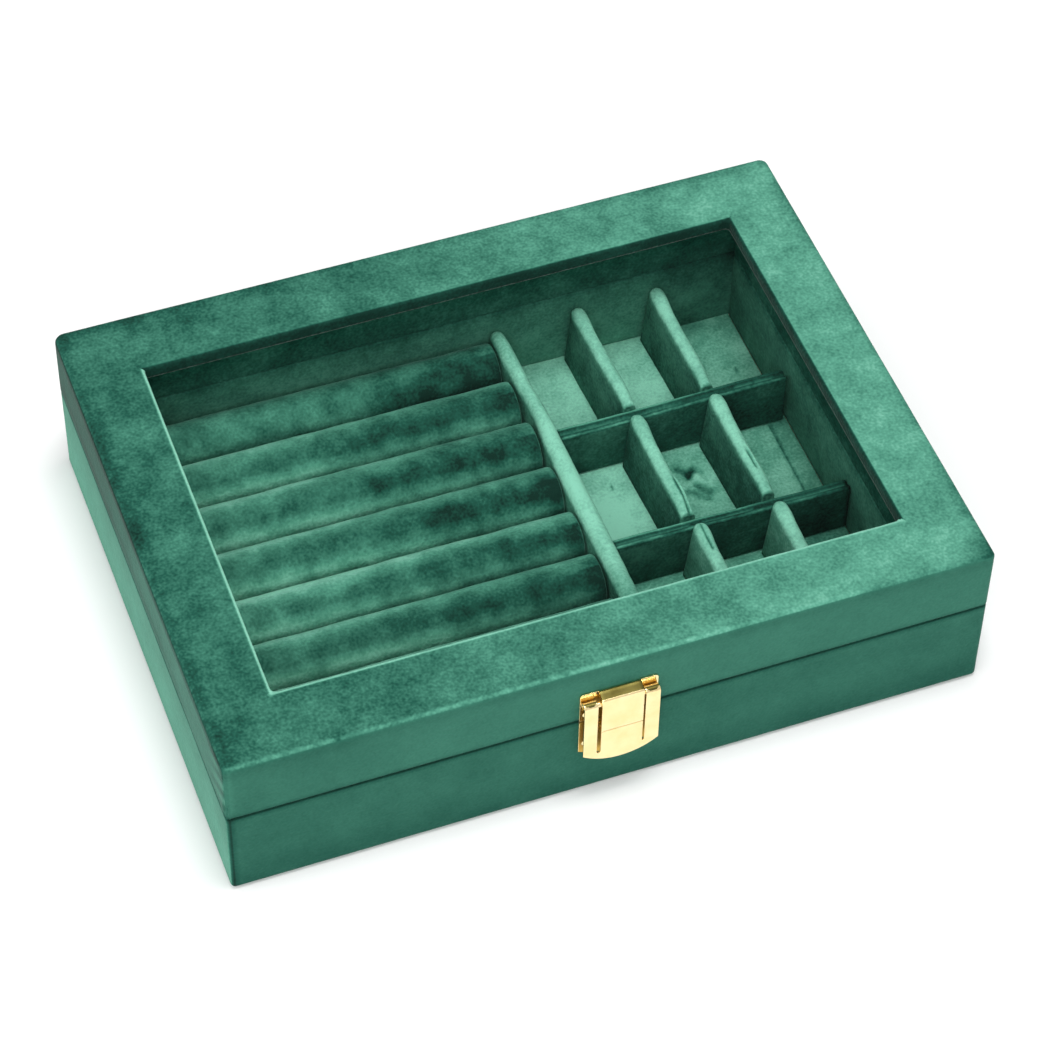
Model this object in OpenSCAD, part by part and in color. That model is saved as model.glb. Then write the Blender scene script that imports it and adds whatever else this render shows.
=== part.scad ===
// Ring display box: velvet-covered base and glazed lid, ring rolls, nine compartments, hasp latch.
// Millimetres, +Z up, the latch faces -Y, the underside lies on z = 0.

/* [Box] */
// Outside width over the velvet.
box_width = 200; // [160:1:300]
// Outside depth over the velvet.
box_depth = 150; // [120:1:240]
// Outside height of base and lid together.
box_height = 48; // [44:0.5:80]
// Height of the joint line between base and lid.
seam_height = 28.5; // [26.5:0.5:32]
// Gap between the two velvet rims when the lid is shut.
seam_gap = 0.2; // [0.1:0.05:0.5]
// Radius of the upright corners.
corner_radius = 2.2; // [2:0.2:6]
// Radius of the rounded edge around the top of the lid.
top_edge = 1.4; // [0.8:0.1:1.6]

/* [Boards] */
// Thickness of the wall boards of base and lid.
wall_board = 10; // [7:0.5:12]
// Thickness of the floor board.
floor_board = 3; // [2:0.2:4]
// How far the floor board is let into the walls.
floor_rebate = 4; // [2:0.5:5]
// Thickness of the window frame board on top of the lid.
frame_board = 3; // [2:0.2:5]
// Glue gap around a board that is let in.
board_fit = 0.1; // [0.05:0.05:0.2]
// Thickness of the paperboard panel under the base.
under_panel = 0.8; // [0.6:0.1:1.5]

/* [Velvet and linings] */
// Thickness of the velvet.
velvet = 0.5; // [0.3:0.1:0.6]
// Width of velvet turned under the base.
hem_width = 4.5; // [3:0.5:10]
// Thickness of the lining panels on the inner walls.
wall_lining = 3.3; // [2:0.1:5]
// Radius on the free edges of the lining panels.
lining_edge = 0.8; // [0.3:0.1:0.9]
// Thickness of the lining on the floor.
floor_lining = 1.3; // [0.8:0.1:2.5]

/* [Window] */
// Clear width of the window.
window_width = 163.6; // [120:0.2:168]
// Clear depth of the window.
window_depth = 112; // [80:1:118]
// Radius of the window's corners.
window_radius = 1.2; // [0.8:0.2:5]
// How far the window sits to the right of the middle.
window_aside = 0.1; // [0:0.1:1.5]
// How far the window sits in front of the middle.
window_forward = 0.3; // [0:0.1:1.5]
// Thickness of the glass.
glass_thickness = 2; // [1.5:0.5:3]
// Gap between the glass and the boards around it.
glass_fit = 0.4; // [0.2:0.1:0.8]

/* [Ring rolls] */
// Thickness of the foam bed under the rolls.
roll_bed = 2.7; // [1:0.1:4]
// Gap between neighbouring rolls.
roll_gap = 0.3; // [0.2:0.1:0.8]
// Radius of the rolls' rounded ends.
roll_end = 1.2; // [0.6:0.2:5]
// Shares of the inner depth that the rolls take, from back to front.
roll_shares = [15, 15.6, 16.5, 16.2, 15.2, 15.5, 14.3, 14.1];

/* [Dividers] */
// Distance of the main divider to the right of the middle.
main_offset = 17.8; // [0:0.2:30]
// Thickness of the main divider.
main_thickness = 6; // [3:0.1:8]
// Distance of the two cross dividers from the middle line.
cross_offset = 20.2; // [16:0.1:26]
// How far both cross dividers sit behind that place.
cross_behind = 0.4; // [0:0.1:2]
// Thickness of the cross dividers.
cross_thickness = 3.8; // [2:0.1:5]
// Thickness of the short dividers.
short_thickness = 5.2; // [2:0.1:6]
// Height of the main divider and of the short dividers above the floor lining.
divider_height = 19; // [8:0.2:21]
// How much lower the cross dividers are.
cross_drop = 2; // [0:0.1:4]
// How far the first short divider of each row stands to the right of even cells, from back to front.
first_aside = [-1.6, -0.6, 0.7];
// The same for the second short divider of each row.
second_aside = [-2.8, -2.0, -0.6];
// Gap at the ends of the dividers.
divider_fit = 0.3; // [0.2:0.1:0.6]

/* [Latch] */
// Width of the two latch plates.
latch_width = 20.4; // [16:0.2:30]
// Thickness of the latch's sheet brass.
latch_sheet = 0.5; // [0.4:0.05:0.8]
// Height of the plate on the lid.
lid_plate_height = 10.4; // [9:0.2:13]
// Height of that plate's two ears above the fold that covers the pin.
latch_ear = 2; // [0.5:0.1:3]
// Height of the plate on the base.
base_plate_height = 11.4; // [9:0.2:14]
// Depth of the curve of that plate's lower edge.
strike_curve = 2.6; // [0.5:0.1:5]
// Width of the flap.
flap_width = 19.8; // [15:0.2:29]
// Width of each leg of the flap.
flap_leg = 3.6; // [2.5:0.1:5]
// Width of the slot beside each leg.
flap_slot = 0.9; // [0.5:0.1:1.5]
// Height of the ends of the flap's lower edge above those of the base plate's.
flap_raise = 1; // [0.2:0.1:3]
// Height of the solid web between the slots and the rounded lower edge, at its ends.
flap_web = 0.5; // [0.3:0.1:3]
// Depth of the curve of the flap's lower edge.
flap_curve = 3.5; // [1:0.1:6]
// Radius of the latch pin.
latch_pin_radius = 0.75; // [0.6:0.05:1]
// Height of the closing line in the middle of the latch, below the joint line.
latch_line = 2.3; // [1.5:0.1:4]

/* [Hinges] */
// Distance of each hinge from the middle.
hinge_offset = 55; // [30:1:70]
// Width of a hinge.
hinge_width = 22; // [16:0.5:32]
// Height of one leaf, from the pin.
leaf_height = 11; // [8:0.5:14]
// Thickness of the leaves.
leaf_sheet = 0.8; // [0.6:0.1:1.1]
// Radius of the hinge pins.
hinge_pin_radius = 0.85; // [0.7:0.05:1.2]
// Angle at which the hinges stop the lid.
lid_stop = 104; // [90:1:115]

/* [Fits and nails] */
// Radial clearance of a pin in its knuckle.
pin_fit = 0.05; // [0.03:0.01:0.08]
// Gap between faces that slide past each other.
side_fit = 0.15; // [0.1:0.05:0.25]
// Radius of a nail's shank.
nail_radius = 0.5; // [0.4:0.05:0.7]
// Radius of a nail's head.
nail_head = 1.1; // [0.9:0.05:1.5]
// Length of a nail's shank.
nail_length = 5; // [3:0.5:6]

/* [Hidden] */
$fn = 64;
half_width = box_width / 2;
half_depth = box_depth / 2;
board_x = half_width - velvet;
board_y = half_depth - velvet;
pocket_x = board_x - wall_board;
pocket_y = board_y - wall_board;
inner_x = pocket_x - wall_lining;
inner_y = pocket_y - wall_lining;
wall_bottom = under_panel;
base_top = seam_height - seam_gap / 2;
lid_bottom = seam_height + seam_gap / 2;
floor_board_top = wall_bottom + floor_board;
lining_bottom = floor_board_top + board_fit;
floor_top = lining_bottom + floor_lining;
frame_top = box_height - velvet;
frame_bottom = frame_top - frame_board;
glass_top = frame_bottom - board_fit;
glass_bottom = glass_top - glass_thickness;
lid_lining_top = glass_bottom - board_fit;

main_left = main_offset - main_thickness / 2;
main_right = main_offset + main_thickness / 2;
cell_width = (inner_x - main_right - 2 * short_thickness) / 3;

roll_left = -inner_x + divider_fit;
roll_right = main_left - divider_fit;
roll_total = sum_to(len(roll_shares));
roll_scale = 2 * inner_y / roll_total;
roll_axis = floor_top + board_fit * 2 + roll_bed + (max(roll_shares) * roll_scale - roll_gap) / 2;

latch_knuckle = latch_pin_radius + pin_fit + latch_sheet;
latch_front = latch_sheet + 0.1 + 2 * latch_knuckle;
latch_axis = latch_sheet + 0.1 + latch_knuckle;
lid_plate_bottom = lid_bottom + side_fit;
lid_plate_top = lid_plate_bottom + lid_plate_height;
latch_z = lid_plate_top - latch_ear - latch_knuckle;
base_plate_top = base_top - side_fit;
base_plate_bottom = base_plate_top - base_plate_height;
line_z = seam_height - latch_line;
tongue_half = flap_width / 2 - flap_leg - flap_slot;
lip_sheet = latch_sheet;
flap_bottom = base_plate_bottom + flap_raise;
lip_reach = 1.1;
strike_reach = 1.9;

hinge_knuckle = hinge_pin_radius + pin_fit + leaf_sheet;
hinge_y = half_depth + side_fit + hinge_knuckle;
knuckle_width = (hinge_width - 2 * side_fit) / 3;
leaf_start = hinge_knuckle + 0.4;
lug_reach = hinge_knuckle + 1.3;
lug_sheet = leaf_sheet;
stop_angle = 45;
stop_depth = lug_reach * sin(stop_angle) + lug_sheet / 2 * cos(stop_angle) + side_fit;

nail_fit = 0.05;
latch_nail_x = latch_width / 2 - nail_head - 0.8;
lid_nail_z = lid_plate_bottom + 2.4;
base_nail_z = base_plate_bottom + 3;
hinge_nail_x = hinge_width / 2 - nail_head - 1.6;
hinge_nail_z = (leaf_start + leaf_height) / 2;

green = [0.12, 0.36, 0.28];
deep_green = [0.08, 0.27, 0.21];
wood = [0.78, 0.66, 0.48];
brass = [0.85, 0.70, 0.35];
paper = [0.10, 0.12, 0.11];

function sum_to(n) = n <= 0 ? 0 : roll_shares[n - 1] + sum_to(n - 1);
function roll_back(i) = inner_y - sum_to(i) * roll_scale;
function roll_radius(i) = (roll_shares[i] * roll_scale - roll_gap) / 2;
function roll_y(i) = roll_back(i) - roll_shares[i] * roll_scale / 2;

module rounded(width, depth, radius) {
    square([width - 2 * radius, depth], center = true);
    square([width, depth - 2 * radius], center = true);
    for (x = [-1, 1], y = [-1, 1])
        translate([x * (width / 2 - radius), y * (depth / 2 - radius)]) circle(radius);
}

module slab(low, high) {
    translate([0, 0, low]) linear_extrude(high - low) children();
}

// Outline of a cross-section with two rounded upper corners, standing on X.
module soft_profile(half, edge, height) {
    translate([-half, 0]) square([2 * half, height - edge]);
    translate([-(half - edge), 0]) square([2 * (half - edge), height]);
    for (side = [-1, 1]) translate([side * (half - edge), height - edge]) circle(edge);
}

// A block with round upright corners and a rounded edge around its top.
module soft_block(half_x, half_y, radius, edge, low, high) {
    run_x = half_x - radius;
    run_y = half_y - radius;
    slab(low, high - edge) rounded(2 * half_x, 2 * half_y, radius);
    translate([-run_x, 0, low]) rotate([90, 0, 90])
        linear_extrude(2 * run_x) soft_profile(half_y, edge, high - low);
    translate([0, run_y, low]) rotate([90, 0, 0])
        linear_extrude(2 * run_y) soft_profile(half_x, edge, high - low);
    for (x = [-run_x, run_x], y = [-run_y, run_y]) translate([x, y, high - edge]) rotate_extrude() {
        square([radius - edge, edge]);
        translate([radius - edge, 0]) intersection() {
            circle(edge);
            square(edge);
        }
    }
}

module board_block(low) {
    soft_block(board_x, board_y, corner_radius - velvet, top_edge - velvet, low, frame_top);
}

// A box from one corner to the other.
module block(low, high) {
    translate(low) cube(high - low);
}

module board_outline() rounded(2 * board_x, 2 * board_y, corner_radius - velvet);
module outer_outline() rounded(2 * half_width, 2 * half_depth, corner_radius);
module pocket_outline() square([2 * pocket_x, 2 * pocket_y], center = true);

// The strip that one wall takes out of the ring: front and back run through, the sides stand between.
module wall_region(side, low, high) {
    if (side == "front") block([-board_x - 1, -board_y - 1, low - 1], [board_x + 1, -pocket_y, high + 1]);
    if (side == "back") block([-board_x - 1, pocket_y, low - 1], [board_x + 1, board_y + 1, high + 1]);
    if (side == "left") block([-board_x - 1, -pocket_y, low - 1], [-pocket_x, pocket_y, high + 1]);
    if (side == "right") block([pocket_x, -pocket_y, low - 1], [board_x + 1, pocket_y, high + 1]);
}

module wall(side, low, high) {
    intersection() {
        slab(low, high) difference() { board_outline(); pocket_outline(); }
        wall_region(side, low, high);
    }
}

module base_wall(side) {
    color(wood) difference() {
        wall(side, wall_bottom, base_top - velvet);
        slab(wall_bottom - 1, lining_bottom)
            square([2 * (pocket_x + floor_rebate), 2 * (pocket_y + floor_rebate)], center = true);
        nail_shanks(nail_radius + nail_fit);
    }
}

module lid_wall(side) {
    color(wood) difference() {
        wall(side, lid_bottom + velvet, frame_bottom);
        nail_shanks(nail_radius + nail_fit);
    }
}

// A lining panel with its free edge rounded, standing on its length along X.
module lining_profile(height, round_low) {
    r = lining_edge;
    translate([0, round_low ? r : 0]) square([wall_lining, height - r]);
    translate([r, round_low ? 0 : height - r]) square([wall_lining - 2 * r, r]);
    for (x = [r, wall_lining - r]) translate([x, round_low ? r : height - r]) circle(r);
}

module lining_panel(side, low, high, round_low) {
    long = side == "front" || side == "back";
    length = long ? 2 * pocket_x : 2 * inner_y;
    turn = side == "front" ? 0 : side == "right" ? 90 : side == "back" ? 180 : 270;
    reach = long ? pocket_y : pocket_x;
    color(green) rotate([0, 0, turn]) translate([-length / 2, -reach, low])
        rotate([90, 0, 90]) linear_extrude(length) lining_profile(high - low, round_low);
}

module base_lining(side) lining_panel(side, lining_bottom, base_top, false);
module lid_lining(side) lining_panel(side, lid_bottom, lid_lining_top, true);

module floor_panel() {
    color(wood) slab(wall_bottom, floor_board_top)
        square([2 * (pocket_x + floor_rebate - board_fit), 2 * (pocket_y + floor_rebate - board_fit)],
            center = true);
}

module underside() {
    color(paper) slab(0, under_panel - board_fit / 2)
        rounded(2 * (half_width - hem_width - board_fit), 2 * (half_depth - hem_width - board_fit), 1);
}

// Outer sheet, rim over the boards and hem under them.
module base_cover() {
    color(green) difference() {
        union() {
            slab(wall_bottom - velvet, base_top) difference() { outer_outline(); board_outline(); }
            slab(base_top - velvet, base_top) difference() { outer_outline(); pocket_outline(); }
            slab(wall_bottom - velvet, wall_bottom) difference() {
                outer_outline();
                square([2 * (half_width - hem_width), 2 * (half_depth - hem_width)], center = true);
            }
        }
        nail_shanks(nail_radius + nail_fit);
    }
}

// Outer sheet, rim under the boards, top sheet and the wrap down through the window.
module lid_cover() {
    color(green) difference() {
        union() {
            difference() {
                soft_block(half_width, half_depth, corner_radius, top_edge, lid_bottom, box_height);
                board_block(lid_bottom + velvet);
                slab(lid_bottom - 1, lid_bottom + velvet + 1) pocket_outline();
                slab(frame_top - 1, box_height + 1) window(0);
            }
            slab(frame_bottom, frame_top + velvet / 2) difference() { window(velvet); window(0); }
        }
        nail_shanks(nail_radius + nail_fit);
    }
}

module window(grow) {
    translate([window_aside, -window_forward])
        rounded(window_width + 2 * grow, window_depth + 2 * grow, window_radius + grow);
}

module window_frame() {
    color(wood) difference() {
        board_block(frame_bottom);
        slab(frame_bottom - 1, frame_top + 1) window(velvet);
    }
}

module glass() {
    color([0.8, 0.9, 0.88, 0.4]) slab(glass_bottom, glass_top)
        square([2 * (pocket_x - glass_fit), 2 * (pocket_y - glass_fit)], center = true);
}

module inner_floor() {
    color(green) slab(lining_bottom, floor_top)
        square([2 * (inner_x - board_fit), 2 * (inner_y - board_fit)], center = true);
}

module bed() {
    color(deep_green) block([roll_left, -inner_y + divider_fit, floor_top + board_fit],
        [roll_right, inner_y - divider_fit, floor_top + board_fit + roll_bed]);
}

// One foam roll with rounded ends, turned about its own axis.
module ring_roll(i) {
    r = roll_radius(i);
    length = roll_right - roll_left;
    color(deep_green) translate([roll_left, roll_y(i), roll_axis]) rotate([0, 90, 0]) rotate_extrude() {
        square([r - roll_end, length]);
        translate([0, roll_end]) square([r, length - 2 * roll_end]);
        for (z = [roll_end, length - roll_end])
            translate([r - roll_end, z]) intersection() {
                circle(roll_end);
                translate([0, -roll_end]) square([roll_end, 2 * roll_end]);
            }
    }
}

// A standing divider with a round top, running along X from the origin.
module divider(length, thickness, height) {
    rotate([90, 0, 90]) linear_extrude(length) {
        translate([-thickness / 2, 0]) square([thickness, height - board_fit - thickness / 2]);
        translate([0, height - board_fit - thickness / 2]) circle(thickness / 2);
    }
}

module main_divider() {
    color(green) translate([main_offset, -inner_y + divider_fit, floor_top + board_fit])
        rotate([0, 0, 90]) divider(2 * (inner_y - divider_fit), main_thickness, divider_height);
}

module cross_divider(side) {
    color(green) translate([main_right + divider_fit, side * cross_offset + cross_behind, floor_top + board_fit])
        divider(inner_x - main_right - 2 * divider_fit, cross_thickness, divider_height - cross_drop);
}

// Short dividers: row 1 is the back one, column 1 the one next to the main divider.
module short_divider(row, column) {
    far = cross_behind + cross_offset;
    near = cross_behind - cross_offset;
    edges = [inner_y, far + cross_thickness / 2, far - cross_thickness / 2,
        near + cross_thickness / 2, near - cross_thickness / 2, -inner_y];
    back = edges[2 * row - 2] - divider_fit;
    front = edges[2 * row - 1] + divider_fit;
    aside = column == 1 ? first_aside[row - 1] : second_aside[row - 1];
    x = main_right + column * cell_width + (column - 0.5) * short_thickness + aside;
    color(green) translate([x, front, floor_top + board_fit])
        rotate([0, 0, 90]) divider(back - front, short_thickness, divider_height);
}

// Latch pieces are drawn in a frame with u out of the front face, then turned to -Y.
module at_front() {
    translate([0, -half_depth, 0]) mirror([0, 1, 0]) children();
}

module lid_plate() {
    half = latch_width / 2;
    color(brass) at_front() difference() {
        union() {
            block([-half, 0, lid_plate_bottom], [half, latch_sheet, lid_plate_top]);
            block([-tongue_half, 0, latch_z + latch_knuckle - latch_sheet],
                [tongue_half, latch_front, latch_z + latch_knuckle]);
            block([-tongue_half, latch_front - latch_sheet, line_z + 0.2],
                [tongue_half, latch_front, latch_z + latch_knuckle]);
            block([-tongue_half, 0, latch_z - latch_knuckle],
                [tongue_half, latch_axis - latch_pin_radius - pin_fit, latch_z + latch_knuckle]);
        }
        block([-tongue_half, -1, latch_z + latch_knuckle], [tongue_half, 1, lid_plate_top + 1]);
        nail_shanks_front(nail_radius + nail_fit);
    }
}

module latch_pin() {
    length = flap_width - 0.4;
    color(brass) at_front() translate([-length / 2, latch_axis, latch_z]) rotate([0, 90, 0])
        cylinder(r = latch_pin_radius, h = length);
}

// The outline of the flap's sheet, seen from the front.
module flap_outline() {
    half = flap_width / 2;
    slot_low = flap_bottom + flap_web;
    curve = (half * half + flap_curve * flap_curve) / (2 * flap_curve);
    for (side = [-1, 1]) translate([side * (half - flap_leg / 2), (slot_low + latch_z) / 2])
        square([flap_leg, latch_z - slot_low], center = true);
    translate([-tongue_half, slot_low]) square([2 * tongue_half, line_z - 0.2 - slot_low]);
    translate([-half, flap_bottom]) square([2 * half, flap_web]);
    intersection() {
        translate([-half, flap_bottom - flap_curve]) square([2 * half, flap_curve]);
        translate([0, flap_bottom - flap_curve + curve]) circle(curve, $fn = 180);
    }
}

module flap() {
    half = flap_width / 2;
    color(brass) at_front() difference() {
        union() {
            translate([0, latch_front, 0]) rotate([90, 0, 0]) linear_extrude(latch_sheet) flap_outline();
            for (x = [-half, half - flap_leg]) translate([x, latch_axis, latch_z]) rotate([0, 90, 0])
                cylinder(r = latch_knuckle, h = flap_leg);
            block([0.4 - tongue_half, lip_reach, line_z - 0.2 - lip_sheet],
                [tongue_half - 0.4, latch_front, line_z - 0.2]);
        }
        translate([-half - 1, latch_axis, latch_z]) rotate([0, 90, 0])
            cylinder(r = latch_pin_radius + pin_fit, h = flap_width + 2);
    }
}

// The outline of the base plate, seen from the front.
module strike_outline() {
    half = latch_width / 2;
    curve = (half * half + strike_curve * strike_curve) / (2 * strike_curve);
    translate([-half, base_plate_bottom]) square([2 * half, base_plate_height]);
    intersection() {
        translate([-half, base_plate_bottom - strike_curve]) square([2 * half, strike_curve]);
        translate([0, base_plate_bottom - strike_curve + curve]) circle(curve, $fn = 180);
    }
}

module strike() {
    color(brass) at_front() difference() {
        union() {
            translate([0, latch_sheet, 0]) rotate([90, 0, 0]) linear_extrude(latch_sheet) strike_outline();
            block([-tongue_half, 0, line_z + 0.1], [tongue_half, strike_reach, line_z + 0.1 + latch_sheet]);
        }
        block([-tongue_half, -1, line_z + 0.1 + latch_sheet], [tongue_half, 5, base_plate_top + 1]);
        nail_shanks_front(nail_radius + nail_fit);
    }
}

// Hinge pieces are drawn about the pin, with v out of the back face.
module at_hinge(side) {
    translate([side * hinge_offset, hinge_y, seam_height]) children();
}

module knuckle(x, width) {
    translate([x, 0, 0]) rotate([0, 90, 0]) cylinder(r = hinge_knuckle, h = width);
}

module leaf(up) {
    half = hinge_width / 2;
    inner = -hinge_knuckle - side_fit;
    low = up > 0 ? leaf_start : -leaf_height;
    high = up > 0 ? leaf_height : -leaf_start;
    block([-half, inner, low], [half, inner + leaf_sheet, high]);
}

module pin_bore() {
    translate([-hinge_width, 0, 0]) rotate([0, 90, 0])
        cylinder(r = hinge_pin_radius + pin_fit, h = 2 * hinge_width);
}

// The leaf on the lid carries the middle knuckle and the lug that stops it.
module lid_leaf(side) {
    w = knuckle_width / 2;
    inner = -hinge_knuckle - side_fit;
    color(brass) difference() {
        at_hinge(side) difference() {
            union() {
                leaf(1);
                block([-w, inner, 0], [w, inner + leaf_sheet, leaf_start + 0.1]);
                knuckle(-w, knuckle_width);
                rotate([lid_stop - stop_angle, 0, 0])
                    block([-w, 0, -lug_sheet / 2], [w, lug_reach, lug_sheet / 2]);
            }
            pin_bore();
        }
        nail_shanks(nail_radius + nail_fit);
    }
}

// The leaf on the base carries the outer knuckles and the tab that the lug meets.
module base_leaf(side) {
    w = knuckle_width / 2;
    half = hinge_width / 2;
    inner = -hinge_knuckle - side_fit;
    color(brass) difference() {
        at_hinge(side) difference() {
            union() {
                leaf(-1);
                for (x = [-half, w + side_fit]) {
                    width = half - w - side_fit;
                    block([x, inner, -leaf_start - 0.1], [x + width, inner + leaf_sheet, 0]);
                    knuckle(x, width);
                }
                block([-w, inner, -stop_depth - leaf_sheet], [w, lug_reach * cos(stop_angle) + 0.3, -stop_depth]);
            }
            pin_bore();
        }
        nail_shanks(nail_radius + nail_fit);
    }
}

module hinge_pin(side) {
    length = hinge_width - 0.4;
    color(brass) at_hinge(side) translate([-length / 2, 0, 0]) rotate([0, 90, 0])
        cylinder(r = hinge_pin_radius, h = length);
}

// Nail places: at the latch in its own frame, at the hinges in the box's frame.
module latch_nail_places(z) {
    for (side = [-1, 1]) translate([side * latch_nail_x, 0, z]) rotate([-90, 0, 0]) children();
}

module hinge_nail_places(up) {
    for (side = [-1, 1], x = [-1, 1])
        translate([side * hinge_offset + x * hinge_nail_x, half_depth, seam_height + up * hinge_nail_z])
            rotate([-90, 0, 0]) children();
}

module shank(radius, cut) translate([0, 0, -nail_length - cut]) cylinder(r = radius, h = nail_length + 3 * cut + 1);

module nail_shanks_front(radius) {
    for (z = [lid_nail_z, base_nail_z]) latch_nail_places(z) shank(radius, 0.2);
}

module nail_shanks(radius) {
    at_front() nail_shanks_front(radius);
    for (up = [-1, 1]) hinge_nail_places(up) shank(radius, 0.2);
}

// A nail with a low domed head that sits on a sheet of the given thickness.
module nail(sheet) {
    dome = 0.45;
    ball = (nail_head * nail_head + dome * dome) / (2 * dome);
    translate([0, 0, -nail_length]) cylinder(r = nail_radius, h = nail_length + sheet);
    intersection() {
        translate([0, 0, sheet]) cylinder(r = nail_head, h = dome);
        translate([0, 0, sheet + dome - ball]) sphere(ball);
    }
}

module latch_nails(z) color(brass) at_front() latch_nail_places(z) nail(latch_sheet);
module hinge_nails(up) color(brass) hinge_nail_places(up) nail(leaf_sheet);

underside();
floor_panel();  // floor_board
base_wall("front");  // base_front
base_wall("back");  // base_back
base_wall("left");  // base_left
base_wall("right");  // base_right
base_cover();
inner_floor();  // floor_lining
base_lining("front");  // base_lining_front
base_lining("back");  // base_lining_back
base_lining("left");  // base_lining_left
base_lining("right");  // base_lining_right
bed();  // roll_bed
ring_roll(0);  // roll_1
ring_roll(1);  // roll_2
ring_roll(2);  // roll_3
ring_roll(3);  // roll_4
ring_roll(4);  // roll_5
ring_roll(5);  // roll_6
ring_roll(6);  // roll_7
ring_roll(7);  // roll_8
main_divider();
cross_divider(1);  // cross_back
cross_divider(-1);  // cross_front
short_divider(1, 1);  // short_11
short_divider(1, 2);  // short_12
short_divider(2, 1);  // short_21
short_divider(2, 2);  // short_22
short_divider(3, 1);  // short_31
short_divider(3, 2);  // short_32
strike();  // latch_strike
latch_nails(base_nail_z);  // latch_nails_base
base_leaf(-1);  // hinge_base_left
base_leaf(1);  // hinge_base_right
hinge_nails(-1);  // hinge_nails_base
window_frame();
lid_wall("front");  // lid_front
lid_wall("back");  // lid_back
lid_wall("left");  // lid_left
lid_wall("right");  // lid_right
lid_cover();
glass();
lid_lining("front");  // lid_lining_front
lid_lining("back");  // lid_lining_back
lid_lining("left");  // lid_lining_left
lid_lining("right");  // lid_lining_right
lid_plate();  // latch_plate
latch_pin();
latch_nails(lid_nail_z);  // latch_nails_lid
lid_leaf(-1);  // hinge_lid_left
lid_leaf(1);  // hinge_lid_right
hinge_pin(-1);  // hinge_pin_left
hinge_pin(1);  // hinge_pin_right
hinge_nails(1);  // hinge_nails_lid
flap();  // latch_flap
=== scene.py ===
import math
from itertools import product

import bmesh
import bpy
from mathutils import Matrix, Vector, noise


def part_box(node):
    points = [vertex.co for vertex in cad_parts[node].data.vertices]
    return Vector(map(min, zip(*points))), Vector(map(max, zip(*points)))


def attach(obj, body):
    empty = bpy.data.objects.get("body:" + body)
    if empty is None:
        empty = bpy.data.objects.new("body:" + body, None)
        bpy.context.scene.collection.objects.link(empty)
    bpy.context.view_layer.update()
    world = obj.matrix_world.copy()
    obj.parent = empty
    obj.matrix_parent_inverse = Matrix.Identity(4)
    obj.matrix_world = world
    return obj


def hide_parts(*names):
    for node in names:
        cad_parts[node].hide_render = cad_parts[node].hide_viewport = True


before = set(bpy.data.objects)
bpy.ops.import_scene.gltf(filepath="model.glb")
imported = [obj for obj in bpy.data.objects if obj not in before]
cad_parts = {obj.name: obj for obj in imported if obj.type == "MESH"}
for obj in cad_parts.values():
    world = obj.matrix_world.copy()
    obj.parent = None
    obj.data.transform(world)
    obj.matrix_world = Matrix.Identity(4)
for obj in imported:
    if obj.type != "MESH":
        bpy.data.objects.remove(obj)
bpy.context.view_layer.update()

print("frame loaded")

milli = 0.001
scene = bpy.context.scene


def addObject(name, data):
    made = bpy.data.objects.new(name, data)
    bpy.context.collection.objects.link(made)
    return made


def setAll(thing, **values):
    for name, value in values.items():
        setattr(thing, name, value)


# camera and lamps
cameraView = {"place": (-0.2187, -0.5781, 0.7409), "turn": (40.448, -0.758, -20.119), "lens": 126.0}

camera = addObject("viewCamera", bpy.data.cameras.new("viewCamera"))
camera.location = cameraView["place"]
camera.rotation_euler = [math.radians(a) for a in cameraView["turn"]]
setAll(camera.data, lens=cameraView["lens"], sensor_width=36, clip_start=0.01)
scene.camera = camera
scene.view_settings.view_transform = "Standard"

lamps = {
    "overheadSoftbox": {"place": (0.04, -0.06, 1.25), "aim": (0.02, 0.0, 0.03), "size": 0.42, "watts": 9.0},
    "leftSoftbox": {"place": (-1.20, 0.10, 0.25), "aim": (0, 0, 0.03), "size": 0.5, "watts": 3.5},
    "frontSoftbox": {"place": (-0.35, -0.95, 1.0), "aim": (0, 0, 0.03), "size": 0.7, "watts": 6.0},
}


def addLamp(name, values):
    light = bpy.data.lights.new(name, "AREA")
    setAll(light, shape="SQUARE", size=values["size"], energy=values["watts"])
    lamp = addObject(name, light)
    lamp.location = values["place"]
    lamp.rotation_euler = (Vector(values["aim"]) - Vector(values["place"])).to_track_quat("-Z", "Y").to_euler()


for lampName, lampValues in lamps.items():
    addLamp(lampName, lampValues)


# materials


def newMaterial(name):
    material = bpy.data.materials.new(name)
    material.use_nodes = True
    tree = material.node_tree
    return material, tree, tree.nodes["Principled BSDF"]


def setSockets(node, values):
    # a value is a number, a colour or another node's output
    for socket, value in values.items():
        if isinstance(value, bpy.types.NodeSocket):
            node.id_data.links.new(value, node.inputs[socket])
        else:
            node.inputs[socket].default_value = value


def addNode(tree, kind, sockets, **settings):
    node = tree.nodes.new(kind)
    setAll(node, **settings)
    setSockets(node, sockets)
    return node


def objectPlace(tree):
    return addNode(tree, "ShaderNodeTexCoord", {}).outputs["Object"]


def bumpNode(tree, height, strength, distance):
    sockets = {"Height": height, "Strength": strength, "Distance": distance}
    return addNode(tree, "ShaderNodeBump", sockets).outputs["Normal"]


def noiseNode(tree, place, scale, detail, rough):
    sockets = {"Vector": place, "Scale": scale, "Detail": detail, "Roughness": rough}
    return addNode(tree, "ShaderNodeTexNoise", sockets).outputs["Fac"]


def mathNode(tree, operation, *values):
    return addNode(tree, "ShaderNodeMath", dict(enumerate(values)), operation=operation).outputs[0]


def rampNode(tree, source, stops):
    node = addNode(tree, "ShaderNodeValToRGB", {"Fac": source})
    while len(node.color_ramp.elements) < len(stops):
        node.color_ramp.elements.new(0.5)
    for element, (place, colour) in zip(node.color_ramp.elements, stops):
        element.position = place
        element.color = (*colour, 1)
    return node.outputs["Color"]


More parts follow.
